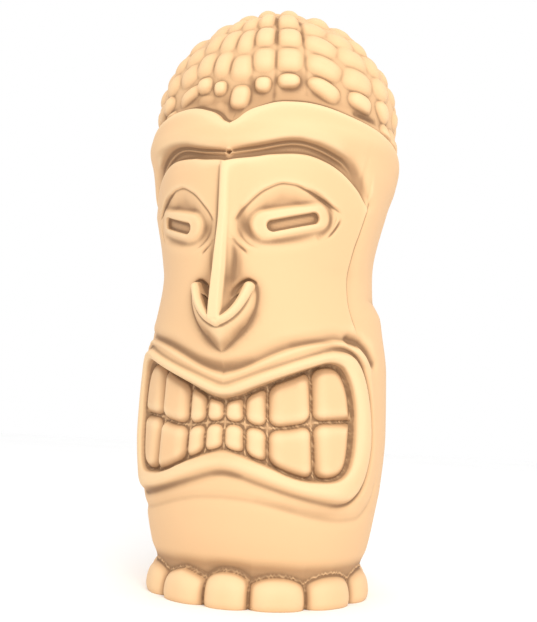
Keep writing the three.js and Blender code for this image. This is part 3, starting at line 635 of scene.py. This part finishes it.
def teeth(a, z, r, mouth):
    """Pillow shaped teeth on the floor of the mouth, and the bead that runs between them.

    A tooth is a power of 1 less like powers of how far a place is into its shoulders, one beside
    the gap and one along the bite or the lip.
    """
    bite = curve(a, BITE_LINE)
    tall = np.abs(np.where(z > bite, curve(a, MOUTH_TOP), curve(a, MOUTH_LOW)) - bite)
    gaps = tooth_gaps(z)
    shape = np.broadcast(a, z).shape
    wide, from_gap = np.ones(shape), np.zeros(shape)
    for start, end in zip(gaps, gaps[1:]):
        here = (a >= start) & (a < end)
        wide = np.where(here, (end - start) * PER_DEGREE, wide)
        from_gap = np.where(here, np.minimum(a - start, end - a) * PER_DEGREE, from_gap)
    from_edge = np.minimum(np.abs(z - bite), mouth)
    shoulder = np.clip(np.minimum(wide, tall) * TOOTH_SHOULDER, 2.8, 9)
    x = 1 - np.clip((from_gap - 0.4) / shoulder, 0, 1)
    y = 1 - np.clip((from_edge - 0.5) / (shoulder * 0.8), 0, 1)
    swell = np.where(mouth > 0, (1 - np.minimum(1, x**2.2 + y**2.2)) ** 0.7, 0)
    opening = step(mouth, -1.6, 1.4)
    bead = stitch(np.minimum(from_gap, from_edge), z + a * PER_DEGREE) * opening
    floor = curve(a, GAP_RADIUS) + BEAD_RISE * bead
    return r * (1 - opening) + opening * (floor + curve(a, TOOTH_RISE) * swell), bead


def toe_shares(degrees):
    """Round the foot: the share of the way out from the toe's middle, half its width, its top."""
    turned = np.abs((degrees - TOE_TURN + 540) % 360 - 180)
    ends = [(m + n) / 2 for m, n in zip(TOE_MIDDLES, TOE_MIDDLES[1:])] + [180]
    starts = [-ends[0]] + ends[:-1]
    i = np.minimum(np.searchsorted(ends, turned), len(ends) - 1)
    start, end = np.array(starts)[i], np.array(ends)[i]
    x = np.clip(np.abs(turned - (start + end) / 2) / ((end - start) / 2), 0, 1)
    peak = (i == 1) & (degrees < TOE_TURN)
    top = np.array(TOE_TOPS)[i] + TOE_PEAK * peak - TOE_DROP * x ** np.where(peak, 1.35, 2.2)
    return x, (end - start) / 2 * PER_DEGREE, top


def toes(degrees, z, r):
    """Ring of rounded toes round the foot, each a dome, and the bead in the crease over them.

    A toe is the root of 1 less a power of the share of its height, times a power of 1 less a
    power of the share of its half width.
    """
    x, half, top = toe_shares(degrees)
    upright = np.sqrt(1 - np.clip(z / top, 0, 1) ** 3.2)
    across = TOE_CLEFT + (1 - TOE_CLEFT) * (1 - x**2.8) ** 0.6
    under = 1 - TOE_UNDERCUT * (1 - np.clip(z / 5, 0, 1)) ** 2
    toe = TOE_NECK + TOE_REACH * upright * across * under
    below = z < top
    edge_bead = 0.6 * stitch((1 - x) * half, z) * below
    bead = np.maximum(edge_bead, stitch(z - top - 0.4, degrees * PER_DEGREE))
    foot = -soft_min(-np.where(z < top + 2, toe, 0), -r, 1) + BEAD_RISE * bead
    high = z > max(TOE_TOPS) + 4
    return np.where(high, r, foot), np.where(high, 0, bead)


def all_knobs():
    """The listed knobs and rings of others: as many as fit, every other ring turned half on."""
    knobs = list(KNOBS)
    chance = np.random.default_rng(RING_SEED)
    s, ring = RING_FIRST, 0
    while s < DOME_TOP - 8:
        round_mm = 360 * PER_DEGREE * narrowing(s)
        count = max(4, round(round_mm / RING_PITCH))
        for i in range(count):
            shift = chance.uniform(-0.12, 0.12, 2)
            degrees = ((i + ring % 2 / 2 + shift[0]) * 360 / count + 180) % 360 - 180
            if s > LISTED_TOP or not LISTED_FROM < degrees < LISTED_TO:
                half = 0.48 * round_mm / count * chance.uniform(0.95, 1.1)
                turn = chance.uniform(-14, 14)
                height = RING_STEP * chance.uniform(0.5, 0.58)
                knobs.append([degrees, s + shift[1] * RING_STEP, half, height, turn, RING_RISE])
        s += RING_STEP
        ring += 1
    return knobs


def narrowing(s):
    """How far the round of the dome has shrunk at a place along it: the cosine of the way up."""
    way = np.clip((s - DOME_START) / DOME_LENGTH, 0, 1)
    return np.cos(way * (np.pi / 2)) ** DOME_POWER


def knob_swell(degrees, s):
    """Height of the crown knobs, 0 between them and 1 on top.

    Each is a pebble: over an oval the height is a power of 1 less a power of the distance from
    the middle. Where pebbles meet, the sum of their high powers rounds the crease.
    """
    total = np.zeros(np.broadcast(degrees, s).shape)
    shrink = narrowing(s)
    row = s - curve(np.abs(degrees), HAIR_LINE)
    softness = 0.74 + 0.3 * step(row, 16, 34)
    for middle, place, length, height, turn, rise in all_knobs():
        away = (degrees - middle + 180) % 360 - 180
        reach = 1.1 * max(length, height)
        near = (np.abs(s - place) < reach) & (np.abs(away) * shrink * PER_DEGREE < reach)
        across = away * PER_DEGREE * shrink
        x, y, turned, soft = picked(near, across, s - place, np.abs(away), softness)
        c, d = math.cos(math.radians(turn)), math.sin(math.radians(turn))
        q = (np.abs(x * c + y * d) / length) ** KNOB_POWER
        q = q + (np.abs(y * c - x * d) / height) ** KNOB_POWER
        q = q + (turned / KNOB_TURN_MOST) ** 6
        total[near] += (rise * (1 - np.minimum(q, 1)) ** soft) ** KNOB_JOIN
    bed = BED_LEVEL * (0.6 + 0.4 * step(row, 20, 36))
    swell = (total + bed**KNOB_JOIN) ** (1 / KNOB_JOIN)
    for line, deep in SEAMS:
        near = (np.abs(degrees - line[1][0]) < 8) & (s > line[0][1] - 4) & (s < line[-1][1] + 4)
        x, y = picked(near, degrees, s)
        away, along = polyline(x, y, rounded(line))
        fade = np.sin(np.pi * np.clip(along, 0.02, 0.98)) ** 0.5
        swell[near] -= curve(y, deep) / KNOB_RISE * bell(away * narrowing(y), SEAM_WIDTH) * fade
    return swell


def skin(degrees, s):
    """Points of the skin in millimetres, how far out the carving stands and how much is bead.

    Up to the dome s is the height and the point lies at the carved radius. Over the dome s is
    the length along a quarter of a superellipse, and the knobs stand out square to it.
    """
    theta, a = np.radians(degrees), np.abs(degrees)
    swell = knob_swell(degrees, s)
    z = np.minimum(s, DOME_START)
    r = nose(degrees, z, eye(a, z, brow_and_plate(a, z, body(a, z))))
    mouth = distance_inside(a, z, MOUTH_EDGE)
    r, bead = teeth(a, z, lips(a, z, r, mouth), mouth)
    r, toe_bead = toes(degrees, z, r)
    from_hair = above(a, z, HAIR_LINE)
    wall = oval(theta, CROWN_SIDE, curve(z, CROWN_BROW), CROWN_BACK) + KNOB_FLOOR
    wall = wall + HAIR_FILLET * (1 - step(from_hair, 0, 9))
    wall = wall + KNOB_RISE * swell * step(from_hair, 0.5, 4)
    to_pit, _ = stroke(degrees, z, *HAIR_PIT)
    wall = wall - HAIR_PIT_DEPTH * bell(to_pit, HAIR_PIT_WIDTH)
    hair = step(from_hair, -0.5, 1.6)
    r = r * (1 - hair) + hair * wall
    phi = np.clip((s - DOME_START) / DOME_LENGTH, 0, 1) * (np.pi / 2)
    reach = oval(theta, CROWN_SIDE, CROWN_FRONT, CROWN_BACK)
    rise = HEIGHT - DOME_START
    fade = step(DOME_TOP - s, 0, 24)
    lift = (KNOB_FLOOR + KNOB_RISE * swell) * fade - (1 - fade)
    length = np.hypot(np.cos(phi) / reach, np.sin(phi) / rise)
    domed = s > DOME_START
    dome_r = reach * np.cos(phi) ** DOME_POWER + lift * np.cos(phi) / reach / length
    dome_z = DOME_START + rise * np.sin(phi) ** DOME_POWER + lift * np.sin(phi) / rise / length
    stand = np.where(domed, reach + lift, r)
    r = np.where(domed, dome_r, r)
    z = np.where(domed, dome_z, s)
    points = np.stack(np.broadcast_arrays(r * np.sin(theta), -r * np.cos(theta), z), -1)
    return points, stand, np.maximum(bead, toe_bead)


def shade_strokes(degrees, s):
    """How much shade is painted on: a bell of the distance from each stroke, less at its ends."""
    x, half, top = toe_shares(degrees)
    over = s - top
    spread = TOE_SHADE * (0.25 + 0.85 * x**2)
    amount = spread * bell(np.maximum(over, 0), TOE_SHADE_UP * (0.5 + 0.5 * x)) * step(over, -1, 0)
    amount = np.maximum(amount, TOE_SHADE * 0.8 * bell((1 - x) * half, TOE_SHADE_WIDE) * (over < 0))
    for line, width, strength in SHADE_STROKES:
        xs, ys = np.array(line).T
        width = width * SHADE_STROKE_SPREAD
        reach = 3 * width
        near = (degrees > xs.min() - reach) & (degrees < xs.max() + reach)
        near = near & (s > ys.min() - reach) & (s < ys.max() + reach)
        away, along = polyline(*picked(near, degrees, s), rounded(line))
        ends = step(along, -SHADE_STROKE_ENDS, SHADE_STROKE_ENDS) * (1 - step(along, 1 - SHADE_STROKE_ENDS, 1 + SHADE_STROKE_ENDS))
        amount[near] = np.maximum(amount[near], strength * bell(away, width) * ends)
    return amount


def blurred(field, reach_round, reach_up):
    """A field over the skin averaged with a bell of those reaches, in samples, by its spectrum."""
    pad = int(4 * reach_up) + 1
    tall = np.pad(field, ((0, 0), (pad, pad)), mode="edge")
    rounds = np.fft.fftfreq(tall.shape[0])[:, None] * reach_round
    ups = np.fft.rfftfreq(tall.shape[1])[None] * reach_up
    bells = np.exp(-2 * np.pi**2 * (rounds**2 + ups**2))
    soft = np.fft.irfft2(np.fft.rfft2(tall) * bells, s=tall.shape)
    return soft[:, pad:-pad]


def bend(field, round_mm, up_mm):
    """How sharply a field turns: the greatest of its second differences each way."""
    tall = np.pad(field, ((0, 0), (1, 1)), mode="edge")
    up = np.abs(tall[:, 2:] + tall[:, :-2] - 2 * field) / up_mm**2
    last, next_ = np.roll(tall, 1, 0), np.roll(tall, -1, 0)
    about = np.abs(last + next_ - 2 * tall)[:, 1:-1] / round_mm**2
    twist = np.abs(next_[:, 2:] - next_[:, :-2] - last[:, 2:] + last[:, :-2])
    return np.maximum(np.maximum(up, about), twist / (4 * round_mm * up_mm))


def crowded_points(need, faces):
    """Lattice points kept so that their spacing follows a need, for about that many triangles.

    Every point has a rank: the coarsest square lattice comes first, then the points amid its
    squares, then the square lattice of half the pitch, and so on. A point is kept if the pitch
    of its rank is no finer than the need asks for there. The coarsest are all kept.
    """
    i, j = np.ogrid[: need.shape[0], : need.shape[1]]
    pitch = np.full(need.shape, 1.0)
    for size in (2, 4, 8, COARSEST):
        half = size // 2
        amid = (i % half == 0) & (j % half == 0) & ((i // half + j // half) % 2 == 0)
        pitch[amid] = half * 1.41
        pitch[(i % size == 0) & (j % size == 0)] = size
    reach = pitch * np.sqrt(need)
    reach[::COARSEST, ::COARSEST] = np.inf
    return reach >= np.partition(reach.ravel(), -faces // 2)[-faces // 2]


def statue_surface(faces):
    """Vertices, triangles and painted fields of the statue.

    The carving is sampled on a lattice. Its bend and that of the painted fields say where points
    crowd, and the kept points are joined by Delaunay triangles on the unrolled skin.
    """
    round_count, up_count = (count for count in LATTICE)
    degrees = -180 + 360 / round_count * np.arange(round_count)[:, None]
    s = np.linspace(0, DOME_TOP - CAP, up_count + 1)[None]
    _, stand, bead = skin(degrees, s)
    round_mm, up_mm = 360 / round_count * PER_DEGREE, (DOME_TOP - CAP) / up_count

    def spread(field, reach):
        """The field averaged over a reach in millimetres."""
        return blurred(field, reach / round_mm, reach / up_mm)

    fields = {name: spread(stand, reach) - stand for name, reach in HOLLOWS.items()}
    fields["bead"] = bead
    fields["shade_strokes"] = shade_strokes(degrees, s)
    # Fields of painted shade: on skin that faces down, and spread round the hollows
    slope = np.gradient(spread(stand, 1.5), up_mm, axis=1)
    fields["underside_shade"] = slope * step(s, 6, 14)
    fields["halo"] = spread(np.maximum(fields["hollow_mid"], 0), HALO)
    hollow = np.maximum(fields["hollow_wide"] - 0.4, 0)
    fields["halo_wide"] = spread(hollow, 2 * HALO)
    need = bend(stand, round_mm, up_mm) + 0.5 * bend(fields["hollow_mid"], round_mm, up_mm)
    need = spread(np.minimum(need, 4), 0.8) + LEAST_NEED
    need = need * (1 - BACK_SAVING * step(np.abs(degrees - FACE_TURN), 76, 105))
    need = need * (1 - DOME_SAVING * step(s, 325, 400))
    keep = crowded_points(need, faces)
    seam = np.concatenate([keep, keep[:1]])
    i, j = np.nonzero(seam)
    places = np.stack([i * round_mm, j * up_mm], -1)
    spots, _, triangles, *_ = delaunay_2d_cdt(places.tolist(), [], [], 0, 1e-6, False)
    spots, triangles = np.array(spots), np.array(triangles)
    i = np.rint(spots[:, 0] / round_mm).astype(int)
    j = np.rint(spots[:, 1] / up_mm).astype(int)
    number = np.full(seam.shape, -1)
    first = i < round_count
    number[i[first], j[first]] = np.arange(first.sum())
    number[-1] = number[0]
    triangles = number[i, j][triangles]
    i, j = i[first], j[first]
    points, *_ = skin(degrees[i, 0], s[0, j])
    top, *_ = skin(np.zeros(1), np.full(1, DOME_TOP))
    vertices = np.concatenate([points, [[0, 0, 0], [0, 0, top[0, 2]]]])
    foot = number[np.flatnonzero(seam[:, 0]), 0]
    cap = number[np.flatnonzero(seam[:, -1]), -1]
    under = np.stack([foot[1:], foot[:-1], np.full(len(foot) - 1, len(points))], -1)
    over = np.stack([cap[:-1], cap[1:], np.full(len(cap) - 1, len(points) + 1)], -1)
    fields = {name: np.append(field[i, j], [0, 0]) for name, field in fields.items()}
    return vertices, np.concatenate([triangles, under, over]), fields


def mesh_object(name, vertices, faces, fields):
    """One smooth mesh object, with its fields as attributes of the vertices."""
    mesh = bpy.data.meshes.new(name)
    mesh.vertices.add(len(vertices))
    mesh.vertices.foreach_set("co", vertices.astype(np.float32).ravel())
    mesh.loops.add(faces.size)
    mesh.loops.foreach_set("vertex_index", faces.astype(np.int32).ravel())
    mesh.polygons.add(len(faces))
    starts = faces.shape[1] * np.arange(len(faces), dtype=np.int32)
    mesh.polygons.foreach_set("loop_start", starts)
    mesh.polygons.foreach_set("use_smooth", np.ones(len(faces), bool))
    mesh.update(calc_edges=True)
    for label, values in fields.items():
        layer = mesh.attributes.new(label, "FLOAT", "POINT")
        layer.data.foreach_set("value", values.astype(np.float32))
    thing = bpy.data.objects.new(name, mesh)
    bpy.context.scene.collection.objects.link(thing)
    return thing


class Value:
    """A number worked out in a material. An expression on it adds its Math nodes."""

    def __init__(self, finish, socket):
        self.finish = finish
        self.socket = socket

    def math(self, operation, other):
        """This value and another, put through one Math node."""
        node = self.finish.node("ShaderNodeMath", {"operation": operation}, [self, other])
        return Value(self.finish, node.outputs[0])

    def __add__(self, other):
        return self.math("ADD", other)

    def __sub__(self, other):
        return self.math("SUBTRACT", other)

    def __rsub__(self, other):
        return (self * -1) + other

    def __mul__(self, other):
        return self.math("MULTIPLY", other)

    __radd__ = __add__
    __rmul__ = __mul__

    def between(self, low, high):
        """Smooth step from 0 at low to 1 at high."""
        settings = {"interpolation_type": "SMOOTHSTEP"}
        inputs = {"Value": self, "From Min": low, "From Max": high}
        node = self.finish.node("ShaderNodeMapRange", settings, inputs)
        return Value(self.finish, node.outputs["Result"])


class Finish:
    """One material, and the ways its nodes are added."""

    def __init__(self, name):
        self.material = bpy.data.materials.new(name)
        self.material.use_nodes = True
        self.tree = self.material.node_tree
        self.tree.nodes.clear()

    def node(self, kind, settings=None, inputs=None):
        """Adds a node: its settings first, then the values or links of its sockets."""
        node = self.tree.nodes.new(kind)
        for key, value in (settings or {}).items():
            setattr(node, key, value)
        pairs = inputs.items() if isinstance(inputs, dict) else enumerate(inputs or [])
        for key, value in pairs:
            self.feed(node.inputs[key], value)
        return node

    def feed(self, socket, value):
        """Links a value or a socket to a socket, or sets a constant on it."""
        source = value.socket if isinstance(value, Value) else value
        if isinstance(source, bpy.types.NodeSocket):
            self.tree.links.new(source, socket)
        else:
            socket.default_value = source

    def field(self, name):
        """The mesh's own attribute of that name."""
        node = self.node("ShaderNodeAttribute", {"attribute_name": name})
        return Value(self, node.outputs["Fac"])

    def noise(self, scale, detail=2.0):
        """Soft noise in the object's own space, about nought."""
        where = self.node("ShaderNodeTexCoord").outputs["Object"]
        inputs = {"Vector": where, "Scale": scale, "Detail": detail}
        return Value(self, self.node("ShaderNodeTexNoise", None, inputs).outputs["Fac"]) - 0.5

    def mix(self, factor, first, second):
        """Colour from first to second as the factor goes from 0 to 1."""
        node = self.node("ShaderNodeMix", {"data_type": "RGBA"}, {0: factor})
        for key, colour in ((6, first), (7, second)):
            linked = isinstance(colour, bpy.types.NodeSocket)
            self.feed(node.inputs[key], colour if linked else (*colour, 1))
        return node.outputs[2]

    def surface(self, inputs):
        """The material, with a shader of those inputs as its surface."""
        shader = self.node("ShaderNodeBsdfPrincipled", None, inputs)
        self.node("ShaderNodeOutputMaterial", None, {"Surface": shader.outputs[0]})
        return self.material


def cast_cream(settings):
    """Matt cream casting: painted shade in hollows; ridges are worn and carry painted highlight.
    """
    finish = Finish("cast_cream")
    fine, mid, wide = map(finish.field, HOLLOWS)
    # Painted shade where the skin faces down
    under = finish.field("underside_shade").between(0.25, 1.6)
    drift = finish.noise(30.0, 3.0)
    # The bead keeps less of the painted shade
    bare = finish.field("bead") * -0.7 + 1
    # Painted shade along the strokes, made uneven by noise
    stroke_shade = finish.field("shade_strokes") * (drift * 1.6 + 1)
    # Broad painted shade over and round the hollows
    deep = finish.field("halo") * 1.7 + finish.field("halo_wide") * 0.5 + mid * 0.75 + wide * 0.2
    deep = (deep + under * 1.2 + stroke_shade * 2.6 + drift * 0.4).between(0.15, 3.1)
    deep = deep * bare * settings.painted_shade
    # Dark brown painted shade in the creases
    crease = fine + mid * 0.12 + stroke_shade * 0.4 + stroke_shade.between(0.75, 1.5) * 0.4
    crease = (crease + drift * 0.06).between(0.03, 0.7)
    crease = crease * bare * settings.painted_shade + stroke_shade.between(1.3, 2.4) * 0.25
    # Ridges lighter: part wear, part painted highlight
    ridge = (mid * -0.8 + wide * -0.15).between(0.05, 1.2) * 0.5
    cream = finish.mix(ridge, settings.cream, settings.rubbed_and_highlit)
    cream = finish.mix(deep, cream, settings.shade)
    colour = finish.mix(crease, cream, settings.brown)
    grain = finish.noise(900.0, 3.0)
    bump = {"Strength": 0.12, "Distance": 0.0004, "Height": grain}
    inputs = {
        "Base Color": colour,
        "Roughness": crease * 0.15 + grain * 0.08 + 0.62,
        "Specular IOR Level": 0.3,
        "Normal": finish.node("ShaderNodeBump", None, bump).outputs[0],
    }
    return finish.surface(inputs)


def plain_surface(name, colour):
    """Plain matt studio surface with a faint unevenness."""
    finish = Finish(name)
    tint = finish.mix(finish.noise(3.0).between(-0.5, 0.5), colour, [0.97 * c for c in colour])
    return finish.surface({"Base Color": tint, "Roughness": 0.9})


class StatueSettings(bpy.types.PropertyGroup):
    """What a user would change about the statue."""

    height: FloatProperty(
        name="Height", description="Height of the whole statue", min=0.1, unit="LENGTH",
        default=CAD_BOX[1].z - CAD_BOX[0].z,
    )
    faces: IntProperty(
        name="Faces", description="Most triangles in the finished mesh", default=198000, min=5000
    )
    cream: FloatVectorProperty(
        name="Cream", description="Body colour", subtype="COLOR", default=(0.745, 0.478, 0.258)
    )
    # Lighter colour of the ridges: part wear, part painted highlight
    rubbed_and_highlit: FloatVectorProperty(
        name="Rubbed", description="Lighter colour of edges", subtype="COLOR",
        default=(0.86, 0.64, 0.38),
    )
    shade: FloatVectorProperty(
        name="Shade", description="Colour of broad hollows", subtype="COLOR",
        default=(0.42, 0.235, 0.115),
    )
    # Colour of the painted shade in creases
    brown: FloatVectorProperty(
        name="Brown", description="Wash in creases", subtype="COLOR", default=(0.2, 0.11, 0.055)
    )
    # Strength of all the painted shade
    painted_shade: FloatProperty(
        name="Painted_shade", description="Strength of the brown wash", default=0.75, min=0, max=1,
        subtype="FACTOR",
    )


class StageSettings(bpy.types.PropertyGroup):
    """What a user would change about the studio."""

    floor: FloatVectorProperty(
        name="Floor", description="Floor colour", subtype="COLOR", default=(0.99, 0.99, 0.99)
    )
    room: FloatProperty(
        name="Room light", description="Strength of the even white light", default=1.0, min=0
    )
    key: FloatProperty(
        name="Key light", description="Strength of the lamp at the front", default=15.0,
        min=0, unit="POWER",
    )


class TIKI_OT_statue(bpy.types.Operator):
    """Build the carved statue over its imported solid"""

    bl_idname = "tiki.statue"
    bl_label = "Statue"

    def execute(self, context):
        settings = context.scene.tiki_statue
        points, triangles, fields = statue_surface(settings.faces)
        scale = settings.height / (CAD_BOX[1].z - CAD_BOX[0].z) / 1000
        statue = mesh_object("carved_statue", points * scale, triangles, fields)
        statue.data.materials.append(cast_cream(settings))
        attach(statue, "root")
        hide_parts("tiki_statue")
        return {"FINISHED"}


def key_lamp(power):
    """A soft square lamp, turned to look at the statue."""
    data = bpy.data.lights.new("key_lamp", "AREA")
    data.shape = "SQUARE"
    data.size = KEY_SIZE
    data.energy = power
    data.color = KEY_COLOUR
    lamp = bpy.data.objects.new("key_lamp", data)
    lamp.location = KEY_PLACE
    ahead = Vector(KEY_TARGET) - Vector(KEY_PLACE)
    lamp.rotation_euler = ahead.to_track_quat("-Z", "Y").to_euler()
    bpy.context.scene.collection.objects.link(lamp)


class TIKI_OT_stage(bpy.types.Operator):
    """Lay the floor, hang the lamps and set the camera"""

    bl_idname = "tiki.stage"
    bl_label = "Studio"

    def execute(self, context):
        settings = context.scene.tiki_stage
        corners = FLOOR_HALF * np.array([[-1, -1, 0], [1, -1, 0], [1, 1, 0], [-1, 1, 0]])
        floor = mesh_object("studio_floor", corners, np.array([[0, 1, 2, 3]]), {})
        floor.data.materials.append(plain_surface("studio_floor", settings.floor))
        world = bpy.data.worlds.new("studio")
        world.use_nodes = True
        background = world.node_tree.nodes["Background"].inputs
        background["Color"].default_value = (1, 1, 1, 1)
        background["Strength"].default_value = settings.room
        context.scene.world = world
        context.scene.view_settings.view_transform = "Standard"
        key_lamp(settings.key)
        bearing, tilt, lean = map(math.radians, CAMERA_TURNS)
        level = math.cos(tilt)
        ahead = Vector((-math.sin(bearing) * level, math.cos(bearing) * level, math.sin(tilt)))
        right = Vector((math.cos(bearing), math.sin(bearing), 0))
        up = right.cross(ahead)
        right, up = (
            math.cos(lean) * right + math.sin(lean) * up,
            math.cos(lean) * up - math.sin(lean) * right,
        )
        data = bpy.data.cameras.new("camera")
        data.lens = CAMERA_LENS
        camera = bpy.data.objects.new("camera", data)
        turn = Matrix((right, up, -ahead)).transposed().to_4x4()
        camera.matrix_world = Matrix.Translation(CAMERA_PLACE) @ turn
        context.scene.collection.objects.link(camera)
        context.scene.camera = camera
        return {"FINISHED"}


class TIKI_PT_panel(bpy.types.Panel):
    """Sidebar panel with the statue's and the studio's settings"""

    bl_idname = "TIKI_PT_panel"
    bl_label = "Tiki statue"
    bl_space_type = "VIEW_3D"
    bl_region_type = "UI"
    bl_category = "Tiki"

    def draw(self, context):
        for group, operator in (("tiki_statue", "tiki.statue"), ("tiki_stage", "tiki.stage")):
            box = self.layout.box()
            settings = getattr(context.scene, group)
            for name in settings.__annotations__:
                box.prop(settings, name)
            box.operator(operator)


CLASSES = (StatueSettings, StageSettings, TIKI_OT_statue, TIKI_OT_stage, TIKI_PT_panel)


def register():
    for each in CLASSES:
        bpy.utils.register_class(each)
    bpy.types.Scene.tiki_statue = PointerProperty(type=StatueSettings)
    bpy.types.Scene.tiki_stage = PointerProperty(type=StageSettings)


def unregister():
    del bpy.types.Scene.tiki_statue
    del bpy.types.Scene.tiki_stage
    for each in reversed(CLASSES):
        bpy.utils.unregister_class(each)


def main():
    """Builds the statue and the studio."""
    register()
    bpy.ops.tiki.statue()
    bpy.ops.tiki.stage()


if __name__ == "__main__":
    main()
